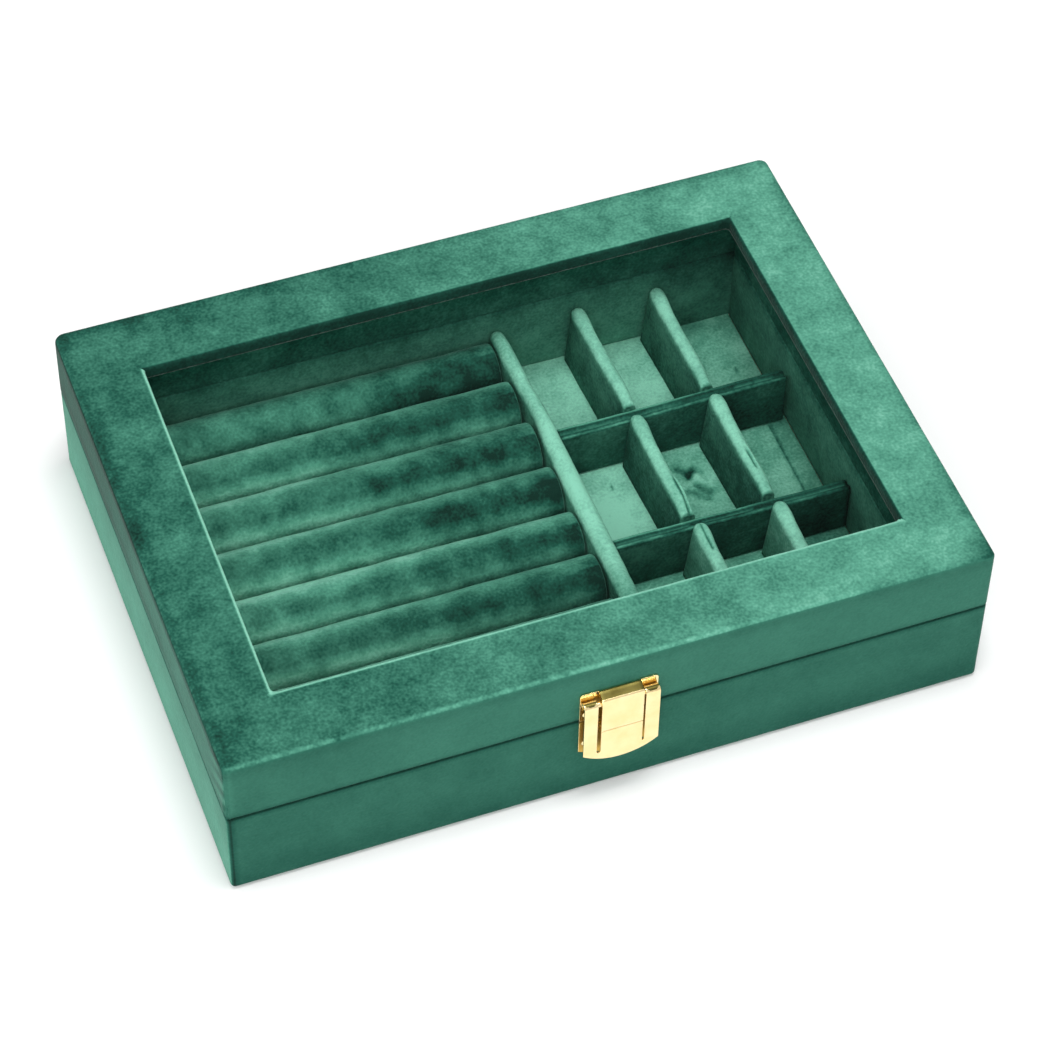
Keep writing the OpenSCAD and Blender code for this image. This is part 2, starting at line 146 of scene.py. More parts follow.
# bright all round, but dim where the glass mirrors the room to someone who looks down from the front
roomLight = {
    "colour": (1, 1, 1, 1), "dimTowards": (0.236, 0.62, 0.747),
    "dimming": {"From Min": 0.72, "From Max": 0.88, "To Min": 0.75, "To Max": 0.06},
}


def lightRoom(values):
    room = bpy.data.worlds.new("paleRoom")
    scene.world = room
    room.use_nodes = True
    tree = room.node_tree
    place = addNode(tree, "ShaderNodeTexCoord", {}).outputs["Generated"]
    nearness = addNode(tree, "ShaderNodeVectorMath", {0: place, 1: values["dimTowards"]}, operation="DOT_PRODUCT")
    strength = addNode(tree, "ShaderNodeMapRange", {"Value": nearness.outputs["Value"], **values["dimming"]},
                       interpolation_type="SMOOTHSTEP")
    setSockets(tree.nodes["Background"], {"Color": values["colour"], "Strength": strength.outputs["Result"]})


lightRoom(roomLight)


def velvetMaterial(name, values):
    # a colour attribute holds how light the pile lies, with painted light and shade worked in (red), and how
    # mottled it is (green)
    material, tree, shader = newMaterial(name)
    place = objectPlace(tree)
    nap = addNode(tree, "ShaderNodeAttribute", {}, attribute_name="nap").outputs["Color"]
    level, mottle = addNode(tree, "ShaderNodeSeparateColor", {"Color": nap}).outputs[:2]
    patches, strokes, grain = [
        mathNode(tree, "SUBTRACT", noiseNode(tree, place, values[kind], detail, rough), 0.5)
        for kind, detail, rough in (("patches", 2, 0.5), ("strokes", 3, 0.6), ("grain", 0.5, 0.6))]
    uneven = 0
    for kind, share in ((patches, "patchShare"), (strokes, "strokeShare"), (grain, "grainShare")):
        uneven = mathNode(tree, "MULTIPLY_ADD", kind, values[share], uneven)
    pile = mathNode(tree, "MULTIPLY_ADD", uneven, mottle, level)
    lightest = values["shades"][-1][0]
    stops = [(stop / lightest, shade) for stop, shade in values["shades"]]
    setSockets(shader, {
        "Base Color": rampNode(tree, mathNode(tree, "DIVIDE", pile, lightest), stops),
        "Roughness": 0.9, "Specular IOR Level": 0.1, "Sheen Weight": values["sheen"],
        "Sheen Roughness": values["sheenRough"], "Sheen Tint": (*values["sheenTint"], 1),
        "Normal": bumpNode(tree, mathNode(tree, "MULTIPLY_ADD", strokes, 0.6, grain), values["bump"], 0.0004),
    })
    return material


pileShades = [
    (0.0, (0.0035, 0.026, 0.018)), (0.25, (0.012, 0.084, 0.058)), (0.5, (0.043, 0.178, 0.124)),
    (0.75, (0.088, 0.300, 0.212)), (1.0, (0.175, 0.450, 0.335)), (1.25, (0.260, 0.610, 0.460)),
]
outerVelvetLook = {
    "shades": pileShades, "patches": 85, "strokes": 430, "grain": 1350,
    "patchShare": 0.60, "strokeShare": 0.34, "grainShare": 0.42,
    "sheen": 0.15, "sheenRough": 0.3, "sheenTint": (0.75, 0.95, 0.86), "bump": 0.4,
}
outerVelvet = velvetMaterial("outerVelvet", outerVelvetLook)
innerVelvet = velvetMaterial("innerVelvet", dict(
    outerVelvetLook, patches=110, sheen=0.03, sheenTint=(0.30, 0.92, 0.72)))
rollVelvet = velvetMaterial("rollVelvet", dict(
    outerVelvetLook, patches=140, strokes=300, patchShare=0.75, grainShare=0.36,
    sheen=0.3, sheenRough=0.35, sheenTint=(0.42, 0.92, 0.74)))

gildingLook = {
    "colour": (0.97, 0.80, 0.44), "worn": (0.93, 0.73, 0.36), "roughness": 0.19, "roughSpread": (0.8, 1.3),
    "waves": 0.05,
}


def gildingMaterial(name, values):
    material, tree, shader = newMaterial(name)
    place = objectPlace(tree)
    cloud = noiseNode(tree, place, 260, 3, 0.5)
    least, most = [values["roughness"] * share for share in values["roughSpread"]]
    rough = addNode(tree, "ShaderNodeMapRange", {
        "Value": noiseNode(tree, place, 900, 4, 0.6), "To Min": least, "To Max": most})
    setSockets(shader, {
        "Base Color": rampNode(tree, cloud, [(0.3, values["worn"]), (0.6, values["colour"])]),
        "Metallic": 1, "Roughness": rough.outputs["Result"],
        "Normal": bumpNode(tree, noiseNode(tree, place, 180, 2, 0.4), values["waves"], 0.0005),
    })
    return material


gilding = gildingMaterial("gilding", gildingLook)
# painted reflection: olive where a fold mirrors the velvet; painted shade: brown where the metal lies behind the
# front sheet
foldGilding = gildingMaterial("foldGilding", dict(
    gildingLook, colour=(0.115, 0.098, 0.028), worn=(0.080, 0.066, 0.017), roughness=0.34))
shadedGilding = gildingMaterial("shadedGilding", dict(
    gildingLook, colour=(0.62, 0.40, 0.09), worn=(0.46, 0.27, 0.05), roughness=0.45))


def fleckedMaterial(name, dark, light, scale, roughness, bumpSize):
    material, tree, shader = newMaterial(name)
    flecks = noiseNode(tree, objectPlace(tree), scale, 5, 0.65)
    setSockets(shader, {
        "Base Color": rampNode(tree, flecks, [(0.35, dark), (0.65, light)]),
        "Roughness": roughness, "Normal": bumpNode(tree, flecks, 0.3, bumpSize),
    })
    return material


fibreboard = fleckedMaterial("fibreboard", (0.36, 0.25, 0.14), (0.52, 0.39, 0.24), 700, 0.85, 0.0002)
flockedPaper = fleckedMaterial("flockedPaper", (0.010, 0.032, 0.024), (0.020, 0.060, 0.044), 1800, 0.95, 0.0001)
liningPaper = fleckedMaterial("liningPaper", (0.012, 0.070, 0.050), (0.026, 0.110, 0.080), 1500, 0.95, 0.0001)
greenFoam = fleckedMaterial("greenFoam", (0.012, 0.055, 0.040), (0.026, 0.100, 0.070), 1200, 0.95, 0.0003)


def glassMaterial(name, values):
    material, tree, shader = newMaterial(name)
    tree.nodes.remove(shader)
    clear = addNode(tree, "ShaderNodeBsdfTransparent", {"Color": (*values["tint"], 1)})
    gloss = addNode(tree, "ShaderNodeBsdfGlossy", {"Color": (1, 1, 1, 1), "Roughness": values["roughness"]})
    # not a Fresnel node, which makes the lower face a mirror in low views
    facing = addNode(tree, "ShaderNodeLayerWeight", {"Blend": 0.5}).outputs["Facing"]
    steep = mathNode(tree, "POWER", facing, 5)
    mirrored = mathNode(tree, "MULTIPLY_ADD", steep, 1 - values["headOn"], values["headOn"])
    mix = addNode(tree, "ShaderNodeMixShader", {0: mirrored, 1: clear.outputs[0], 2: gloss.outputs[0]})
    setSockets(tree.nodes["Material Output"], {"Surface": mix.outputs[0]})
    return material


paneGlass = glassMaterial("paneGlass", {"tint": (0.975, 0.99, 0.985), "roughness": 0.02, "headOn": 0.018})
print("materials made")


# mesh helpers
def makePiece(name, points, faces, material):
    mesh = bpy.data.meshes.new(name)
    mesh.from_pydata([Vector(p) * milli for p in points], [], faces)
    work = bmesh.new()
    work.from_mesh(mesh)
    bmesh.ops.remove_doubles(work, verts=work.verts, dist=1e-7)
    bmesh.ops.recalc_face_normals(work, faces=work.faces)
    work.to_mesh(mesh)
    work.free()
    mesh.shade_smooth()
    mesh.materials.append(material)
    return addObject(name, mesh)


def pieceName(node):
    first, *others = node.split("_")
    return first + "".join(word.capitalize() for word in others)


def settle(piece, body, node, tone=None):
    if tone:
        paintPileAndLight(piece, tone)
    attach(piece, body)
    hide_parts(node)


def addModifier(piece, kind, **values):
    setAll(piece.modifiers.new(kind, kind), **values)


def applyModifiers(piece):
    graph = bpy.context.evaluated_depsgraph_get()
    mesh = bpy.data.meshes.new_from_object(piece.evaluated_get(graph), depsgraph=graph)
    piece.modifiers.clear()
    piece.data = mesh
    mesh.shade_smooth()


def wave(x, y, z, size, seed):
    return noise.noise(Vector((x / size + seed * 7.3, y / size - seed * 3.1, z / size + seed * 1.7)))


def nodeBox(node):
    low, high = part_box(node)
    return [v / milli for v in low], [v / milli for v in high]


def between(first, last, share):
    return first + (last - first) * share


def fade(value, start, end):
    t = min(max((value - start) / (end - start), 0.0), 1.0)
    return t * t * (3 - 2 * t)


def bell(value, middle, width):
    return math.exp(-((value - middle) / width) ** 2)


def curveAt(points, value):
    # straight lines between (place, value) points
    for (start, first), (end, last) in zip(points, points[1:]):
        if value <= end:
            return first + (last - first) * (max(value, start) - start) / (end - start)
    return points[-1][1]


def band(value, shade):
    amount, middle, width = shade
    return amount * bell(value, middle, width)


def paintPileAndLight(piece, tone):
    # tone(point in mm, normal) gives the level of the pile, painted light and shade included, and how mottled it
    # is
    mesh = piece.data
    layer = mesh.color_attributes.new("nap", "FLOAT_COLOR", "POINT")
    for vertex in mesh.vertices:
        level, mottle = tone(vertex.co / milli, vertex.normal)
        layer.data[vertex.index].color = (min(max(level, 0.0), pileShades[-1][0]), mottle, 0.0, 1.0)


def spread(first, last, steps):
    return [first + (last - first) * i / steps for i in range(steps + 1)]


def arc(middle, up, radius, start, end, steps):
    # 0 degrees points along the first axis, 90 up
    angles = [math.radians(start + (end - start) * i / steps) for i in range(steps + 1)]
    return [(middle + radius * math.cos(a), up + radius * math.sin(a)) for a in angles]


# every loop round the box has the same number of points, from the front right corner to the front left one
sideSteps, cornerSteps = (112, 150, 112, 150), 10
cornerTurns = [(1, -1, -90), (1, 1, 0), (-1, 1, 90), (-1, -1, 180)]


def cornerLoop(corners, radii, z):
    arcs = []
    for (x, y), radius, (sideX, sideY, start) in zip(corners, radii, cornerTurns):
        radius = max(radius, 0.12)
        arcs.append(arc(x - sideX * radius, y - sideY * radius, radius, start, start + 90, cornerSteps))
    points = []
    for turn, after, run in zip(arcs, arcs[1:] + arcs[:1], sideSteps):
        (x, y), (nextX, nextY) = turn[-1], after[0]
        points += turn + [(between(x, nextX, i / run), between(y, nextY, i / run)) for i in range(1, run)]
    return [(x, y, z) for x, y in points]


def ringFaces(count, rings, closed):
    # closed also joins the last ring to the first
    starts = [(i * count, (i + 1) % rings * count) for i in range(rings if closed else rings - 1)]
    return [(a + k, a + (k + 1) % count, b + (k + 1) % count, b + k) for a, b in starts for k in range(count)]


def loftClosed(name, rings, material, reshape):
    # rings: (tag, loop of points)
    points = [reshape(p, tag) for tag, loop in rings for p in loop]
    return makePiece(name, points, ringFaces(len(rings[0][1]), len(rings), True), material)


# covers: closed shells of velvet, each built from rings round the box
lidLow, lidHigh = nodeBox("lid_cover")
halfX, halfY = lidHigh[0], lidHigh[1]


def boxCorners(inset):
    return [(sideX * (halfX - inset), sideY * (halfY - inset)) for sideX, sideY, turn in cornerTurns]


def coverRings(look, tag, places):
    # places: how far in from the box's sides, and the height
    places = [(inset + look["setBack"], z) for inset, z in places]
    return [(tag, cornerLoop(boxCorners(inset), [r - inset for r in look["corners"]], z)) for inset, z in places]


def drawnIn(x, y, z, depth):
    reach = 1 - depth / max(abs(x), abs(y), 1)
    return (x * reach, y * reach, z)


def fromEdges(x, y):
    return x + halfX, halfX - x, y + halfY, halfY - y  # left, right, front, back


lidCoverLook = {
    "cloth": 0.5, "setBack": 0, "rim": 10.5, "corners": (1.7, 2.4, 2.8, 1.3), "topEdge": 1.4, "rimEdge": 0.6,
    "lip": 0.8, "window": ((82.1, -56.2), (81.6, 55.8), (-81.0, 55.0), (-81.75, -55.85)),
    "windowCorners": (1.5, 1.2, 0.6, 1.5), "wrapBottom": nodeBox("window_frame")[0][2],
    "puff": 0.10, "unevenTop": 0.06, "lipWave": 0.12, "raggedBack": 0.30, "mitreFolds": 0.13,
    # leftLevel and rightLevel paint the top lighter to the right, where the light falls
    "leftLevel": 0.37, "rightLevel": 0.69, "frontLevel": 0.44, "sideLevel": 0.39, "backLevel": 0.45, "seam": 0.3,
    # darker bands along the edges of the top: how much, how far in and how wide
    "leftBand": (0.22, 1.4, 2.6), "backBand": (0.12, 1.2, 2.0), "rightBand": (0.16, 0.4, 2.0),
    "cornerBand": (0.16, 0, 9), "frontLine": (0.10, 0.3, 0.8),
    # level and width of the turned edge: a painted highlight on the left and front, painted shade on the back and
    # right
    "lips": {"left": (1.15, 0.5), "front": (1.02, 0.7), "back": (0.03, 0.35), "right": (0.03, 0.35)},
}


def outsideWindow(look, x, y):
    # how far a point lies outside each edge of the window, and the edge it lies farthest outside
    (rightFront, frontRight), (rightBack, backRight), (leftBack, backLeft), (leftFront, frontLeft) = look["window"]
    along, deep = (x - leftFront) / (rightFront - leftFront), (y - frontRight) / (backRight - frontRight)
    outside = {
        "right": x - rightFront - (rightBack - rightFront) * deep,
        "left": leftFront + (leftBack - leftFront) * deep - x,
        "back": y - backLeft - (backRight - backLeft) * along,
        "front": frontLeft + (frontRight - frontLeft) * along - y,
    }
    return outside, max(outside, key=outside.get)


def lidCover(look):
    low, high = lidLow[2], lidHigh[2]
    cloth, lip, topEdge, rimEdge = look["cloth"], look["lip"], look["topEdge"], look["rimEdge"]

    def topRing(tag, share, z, extra=0.0):
        # share 0 is the outer edge of the top, 1 the edge of the window
        corners, radii = [], []
        for (x, y), (windowX, windowY), radius, inner, (sideX, sideY, turn) in zip(
                boxCorners(topEdge), look["window"], look["corners"], look["windowCorners"], cornerTurns):
            windowX, windowY = windowX + sideX * lip, windowY + sideY * lip
            x, y = between(x, windowX, share), between(y, windowY, share)
            corners.append((x - sideX * extra, y - sideY * extra))
            radii.append((radius - topEdge) * (1 - share) + (inner + lip) * share - extra)
        return tag, cornerLoop(corners, radii, z)

    rings = coverRings(look, "rim", [(inset, low) for inset in spread(look["rim"], rimEdge, 5)[:-1]])
    rings += coverRings(look, "edge", arc(rimEdge, low + rimEdge, rimEdge, 270, 180, 6))
    rings += coverRings(look, "side", [(0, z) for z in spread(low + rimEdge, high - topEdge, 14)[1:-1]])
    rings += coverRings(look, "edge", arc(topEdge, high - topEdge, topEdge, 180, 90, 7))
    rings += [topRing("top", share, high) for share in [0.02] + spread(0, 1, 16)[1:-1] + [0.98]]
    rings += [topRing("lip", 1, z, extra) for extra, z in arc(0, high - lip, lip, 90, 0, 7)]
    rings += [topRing("lip", 1, z, lip) for z in spread(high - lip, look["wrapBottom"], 4)[1:]]
    rings += [topRing("in", 1, z, lip - cloth) for z in (look["wrapBottom"], high - cloth)]
    rings += coverRings(look, "in", [
        (cloth + 0.5, high - cloth), (cloth, high - cloth - 0.5), (cloth, low + cloth + 0.4),
        (cloth + 0.4, low + cloth), (look["rim"], low + cloth)])

    def reshape(p, tag):
        x, y, z = p
        if tag == "in":
            return p
        if tag in ("top", "lip"):
            drop = look["puff"] * (0.5 + 0.5 * wave(x, y, 0, 18, 1)) + look["unevenTop"] * wave(x, y, 0, 4, 2)
            if tag == "lip":  # the turned edge is a little uneven, but straight at the corners and lower down
                outside, edge = outsideWindow(look, x, y)
                shift = abs(wave(x, y, 0, 9, 3) + 0.6 * wave(x, y, 0, 3.2, 4))
                shift *= look["raggedBack" if edge == "back" else "lipWave"] * fade(z, high - lip - 0.4, high)
                shift *= fade(-sorted(outside.values())[-2], 1.5, 6)
                x += {"right": shift, "left": -shift}.get(edge, 0)
                y += {"back": shift, "front": -shift}.get(edge, 0)
            return (x, y, z - drop * (1 if tag == "top" else 0.5))
        inward = look["puff"] * (0.5 + 0.5 * wave(x, y, z, 16, 5)) if tag != "rim" else 0
        corner = math.hypot(x + halfX - 1.3, y + halfY - 1.3)
        if corner < 4:  # little mitre folds where the cloth is gathered at the front left corner
            folds = math.sin((x - y) * 5.5) * fade(z, low + 12, low + 2) * fade(corner, 4, 1.6)
            inward += look["mitreFolds"] * folds
        return drawnIn(x, y, z, inward)

    piece = loftClosed("lidVelvet", rings, outerVelvet, reshape)

    def topTone(x, y):
        left, right, front, back = fromEdges(x, y)
        # painted light: the top is lighter to the right, where the light falls
        level = between(look["leftLevel"], look["rightLevel"], fade(x, -70, 95))
        level += 0.08 * fade(y, -40, -75) * fade(x, -90, 60) + 0.09 * wave(x, y, 0, 32, 6)
        level -= band(left, look["leftBand"]) * (0.65 + 0.5 * wave(x, y, 0, 12, 7))
        level -= band(back, look["backBand"]) + band(right, look["rightBand"])
        level -= band(math.hypot(right, front), look["cornerBand"])
        level -= 0.08 * fade(x, 40, 90) * fade(y, -30, -62)
        # a painted highlight where the front edge catches the light at the left; the edge is a little darker at
        # the right
        level += (0.20 + 0.3 * wave(x, 0, 0, 2.5, 10)) * bell(front, 0.7, 0.45) * fade(x, 90, -10)
        level -= band(front, look["frontLine"]) * fade(x, 0, 60)
        # painted highlight on the left and front turned edges of the window, painted shade on the back and right
        # ones
        outside, edge = outsideWindow(look, x, y)
        lipLevel, width = look["lips"][edge]
        level = between(level, lipLevel, fade(outside[edge], width + 0.5, width))
        return level, 0.4 + 0.6 * fade(outside[edge], 0.3, 1.5)

    def tone(p, n):
        x, y, z = p
        left, right, front, back = fromEdges(x, y)
        inside = min(left, right, front, back)
        if n.z > 0.55 or inside > 12 or z > high - 2 and inside > 5:
            return topTone(x, y)
        if front < 2 and n.y < -0.5:
            level = look["frontLevel"] + 0.02 * wave(x, 0, z, 30, 8)
            level -= 0.05 * fade(z, high - 5, high - 2) + 0.05 * fade(x, -50, -80)
            # painted shade just above the seam, where the cloth turns under, and a painted highlight along the
            # front left corner
            level -= look["seam"] * fade(z, low + 0.8, low + 0.25)
            return level + 0.10 * bell(x - y + halfX - halfY - 1.6, 0, 0.6) * fade(z, low + 1, low + 3), 0.22
        if left < 2:  # darker towards the top and the back, with painted shade for a soft crease, painted light and shade for gathers at the front, and painted shade at the seam
            gather = fade(front, 16, 2) * fade(z, low + 0.5, low + 3)
            level = look["sideLevel"] - 0.26 * fade(z, high - 4.2, high - 2.0) - 0.26 * fade(y, -50, 65)
            level -= 0.14 * bell(z, low + 3.6 + 1.2 * wave(0, y, 0, 30, 9), 1.0) * fade(y, -70, 0)
            level += 0.16 * gather * math.sin(1.1 * (z - low) + 0.55 * front)
            level -= look["seam"] * fade(z, low + 1.0, low + 0.25)
            return between(level, look["backLevel"], fade(n.y, 0.1, 0.8)), 0.35
        return look["backLevel"], 0.4

    settle(piece, "lid", "lid_cover", tone)


lidCover(lidCoverLook)

baseCoverLook = {
    "cloth": 0.5, "setBack": 0.1, "rim": 10.5, "corners": (1.7, 2.4, 2.5, 1.3), "rimEdge": 0.6, "footEdge": 1.1,
    # seam is painted shade just below the lid; sideLevel paints the left side pale, a painted sheen
    "hem": 4.5, "puff": 0.08, "join": (0.16, 0.7, 0.35), "joinShade": (0.3, 0.7, 0.5), "seam": 0.3,
    "frontLevel": 0.355, "sideLevel": 0.66, "backLevel": 0.45,
}


def baseCover(look):
    low, high = [corner[2] for corner in nodeBox("base_cover")]
    cloth, rimEdge, footEdge = look["cloth"], look["rimEdge"], look["footEdge"]
    rings = coverRings(look, "rim", [(inset, high) for inset in spread(look["rim"], rimEdge, 5)[:-1]])
    rings += coverRings(look, "edge", arc(rimEdge, high - rimEdge, rimEdge, 90, 180, 6))
    rings += coverRings(look, "side", [(0, z) for z in spread(high - rimEdge, low + footEdge, 20)[1:-1]])
    rings += coverRings(look, "edge", arc(footEdge, low + footEdge, footEdge, 180, 270, 6))
    rings += coverRings(look, "in", [
        (look["hem"], low), (look["hem"], low + cloth), (cloth + 0.4, low + cloth), (cloth, low + cloth + 0.4),
        (cloth, high - cloth - 0.3), (cloth + 0.3, high - cloth), (look["rim"], high - cloth)])

    def besideJoin(x, y):  # the cloth is joined down the front left corner
        return x - y + halfX - halfY

    def reshape(p, tag):
        x, y, z = p
        if tag in ("in", "rim"):
            return p
        inward = look["puff"] * (0.5 + 0.5 * wave(x, y, z, 16, 11))
        if math.hypot(x + halfX - 1.3, y + halfY - 1.3) < 3:
            inward += band(besideJoin(x, y), look["join"]) * fade(z, low + 1, low + 4)
        return drawnIn(x, y, z, inward)

    piece = loftClosed("baseVelvet", rings, outerVelvet, reshape)

    def tone(p, n):
        x, y, z = p
        left, right, front, back = fromEdges(x, y)
        height = (z - low) / (high - low)
        # painted shade just below the lid, where the base meets it
        seam = look["seam"] * fade(z, high - 0.8, high - 0.3)
        if left < 3 and front < 3:
            seam += band(besideJoin(x, y), look["joinShade"])
        if front < 2 and n.y < -0.5:
            return look["frontLevel"] - 0.08 * fade(height, 0.5, 0.05) - seam, 0.25
        # painted sheen: the left side is paler
        if left < 2:
            level = look["sideLevel"] - 0.10 * fade(height, 0.3, 1.0)
            return between(level, look["backLevel"], fade(n.y, 0.1, 0.8)) - seam, 0.35
        return look["backLevel"] - seam, 0.4

    settle(piece, "base", "base_cover", tone)


baseCover(baseCoverLook)
print("covers made")


# velvet-covered blocks: linings, floor and dividers
def blockSteps(length, radius, step):
    edge = [radius * t for t in (0, 0.15, 0.32, 0.5, 0.68, 0.85)]
    count = max(1, round((length - 2 * radius) / step))
    return edge + spread(radius, length - radius, count) + [length - e for e in reversed(edge)]


def roundedBlock(name, low, high, radius, steps, material, reshape, flatEnds=()):
    # flatEnds: ends such as "-y" whose edges stay square, because they stand against another piece
    low, high, limits = list(low), list(high), (list(low), list(high))
    radius = min(radius, min(h - l for l, h in zip(low, high)) / 2 - 1e-4)
    for end in flatEnds:
        axis = "xyz".index(end[1])
        if end[0] == "-":
            low[axis] -= radius
        else:
            high[axis] += radius
    size = [h - l for l, h in zip(low, high)]
    grids = [blockSteps(s, radius, step) for s, step in zip(size, steps)]
    points, index, faces = [], {}, []

    def corner(key):
        if key not in index:
            p = [grid[place] for grid, place in zip(grids, key)]
            core = [min(max(v, radius), s - radius) for v, s in zip(p, size)]
            away = Vector([a - b for a, b in zip(p, core)])
            if away.length > 1e-9:
                away = away.normalized() * radius
            p = [min(max(l + c + a, least), most) for l, c, a, least, most in zip(low, core, away, *limits)]
            index[key] = len(points)
            points.append(reshape(p, away.normalized() if away.length > 0 else Vector((0, 0, 1))))
        return index[key]

    counts = [len(g) - 1 for g in grids]
    for axis in range(3):
        a, b = [n for n in range(3) if n != axis]
        for end, i, j in product((0, counts[axis]), range(counts[a]), range(counts[b])):
            quad = []
            for placeA, placeB in ((i, j), (i + 1, j), (i + 1, j + 1), (i, j + 1)):
                key = [0, 0, 0]
                key[axis], key[a], key[b] = end, placeA, placeB
                quad.append(corner(tuple(key)))
            faces.append(quad)
    return makePiece(name, points, faces, material)


def pushedIn(p, normal, depth):
    return [c - n * depth for c, n in zip(p, normal)]


def sunken(amount, size, seed):
    def reshape(p, normal):
        depth = amount * (0.5 + 0.5 * wave(*p, size, seed)) + amount * 0.3 * wave(*p, size / 4, seed + 1)
        return pushedIn(p, normal, depth)
    return reshape


liningLook = {
    "edge": 0.8, "steps": (3.0, 3.0, 2.0), "sink": 0.12, "rimShade": 0.16,
    "levels": {"base": {"front": 0.45, "back": 0.47, "left": 0.50, "right": 0.52},
               "lid": {"front": 0.35, "back": 0.26, "left": 0.35, "right": 0.26}},
}


def lining(body, side, look, seed):
    node = "%s_lining_%s" % (body, side)
    low, high = nodeBox(node)
    shape = sunken(look["sink"], 14, seed)
    panel = roundedBlock(pieceName(node), low, high, look["edge"], look["steps"], innerVelvet, shape)

    def tone(p, n):
        x, y, z = p
        level = look["levels"][body][side] + 0.05 * wave(x, y, z, 18, seed + 3)
        if body == "base":
            level -= look["rimShade"] * fade(z, high[2] - 1.3, high[2] - 0.4)
        # painted light lower down on the back lining and painted shade towards its right end; painted shade
        # towards the back on the right lining
        if node == "base_lining_back":
            level += 0.16 * fade(z, 27, 14) - 0.24 * fade(x, 55, 84)
        if node == "base_lining_right":
            level -= 0.12 * fade(y, 30, 60)
        return level, 0.8

    settle(panel, body, node, tone)


for seed, (body, side) in enumerate(product(("base", "lid"), ("front", "back", "left", "right")), 30):
    lining(body, side, liningLook, seed)

# dividers
mainDividerLook = {
    "steps": (1.0, 1.4, 1.6), "sink": 0.15, "topLevel": 1.25, "faceLevel": 0.5, "leftFace": 0.2,
    "frontShade": 0.38, "backShade": 0.22,
    # x of the ridge's left and right edge at some y
    "leftEdge": [(-61, 15.2), (-25, 15.1), (-10, 14.9), (5, 14.9), (17, 15.1), (28, 15.9), (39, 15.2), (50, 14.9),
                 (61, 15)],
    "rightEdge": [(-61, 20.7), (-10, 20.7), (5, 20.6), (17, 20.5), (28, 20.4), (39, 19.6), (50, 19.6), (61, 19)],
}
crossDividerLook = {
    "steps": (1.2, 0.6, 1.6), "sink": 0.12, "edge": 0.6, "join": 0.6, "short": 0.9, "seam": 0.6,
    # how far the front and the back ply lie below the top, at x 24 and at x 80
    "drop": {"back": ((0.9, 0.0), (0.3, 0.0)), "front": ((0.1, 1.1), (0.6, 1.5))},
    # frontLine and backLine are painted highlights along the edges of the top; lighterLeft and lighterUp leave
    # painted shade towards the floor and the right end
    "topLevel": 0.05, "frontLine": 0.62, "backLine": 0.72,
    "faceLevel": 0.09, "lighterLeft": 0.16, "lighterUp": 0.13, "backLevel": 0.45,
}
shortDividerLook = {
    "steps": (0.6, 1.0, 1.2), "sink": 0.12, "bend": 0.12, "half": 1.95, "aside": 0.5, "join": 0.5, "dip": 0.1,
    "gap": 0.05, "topLevel": 1.12, "endLevel": 0.6, "rightLevel": 0.5, "curl": 0.22,
    "faceLevels": {1: 0.34, 2: 0.24, 3: 0.55},
    # how far the top stands to the right at its back end, middle and front end
    "lean": {(1, 1): (-0.5, 0, 0.9), (1, 2): (0, 0, 0.6), (2, 1): (-0.5, -0.4, 0), (2, 2): (-0.2, 0.05, 0.7)},
    # the slit's offset from the middle at its front and back end, y of both ends, and how deep
    "slits": {(2, 1): (0.45, 1.25, -19.8, -4, 0.9), (2, 2): (0.45, 0.45, -10, -1, 0.8),
              (3, 1): (0.3, 0.3, -32, -21, 0.6)},
    "loose": {(2, 1): 0.7},
}


def crossFaces(where):
    # y of the divider's front and back face
    return [corner[1] for corner in nodeBox("cross_" + where)]


def mainDivider(look):
    low, high = nodeBox("main_divider")

    def reshape(p, normal):
        share = fade(p[2], low[2] - 4, high[2] - 3)
        x, y, z = pushedIn(p, normal, look["sink"] * (0.5 + 0.5 * wave(*p, 7, 41)))
        across = (x - low[0]) / (high[0] - low[0])
        left, right = curveAt(look["leftEdge"], y), curveAt(look["rightEdge"], y)
        x += (left + (right - left) * across - x) * share + 0.12 * wave(0, y, 0, 5, 43) * share
        return (x, y, z - 0.6 * fade(high[1] - y, 3.5, 0) * share)

    piece = roundedBlock("mainDivider", low, high, (high[0] - low[0]) * 0.48, look["steps"], innerVelvet, reshape)

    def tone(p, n):
        level = look["faceLevel"] + look["leftFace"] * (n.x < -0.5)
        # painted light: the top is lighter than the faces, where the light falls from above
        level += (look["topLevel"] - level) * fade(n.z, -0.05, 0.6)
        level -= look["frontShade"] * fade(p.y, -2, -50) + look["backShade"] * fade(p.y, 12, 50)
        return level + 0.08 * wave(*p, 9, 44), 1.0

    settle(piece, "base", "main_divider", tone)


mainDivider(mainDividerLook)


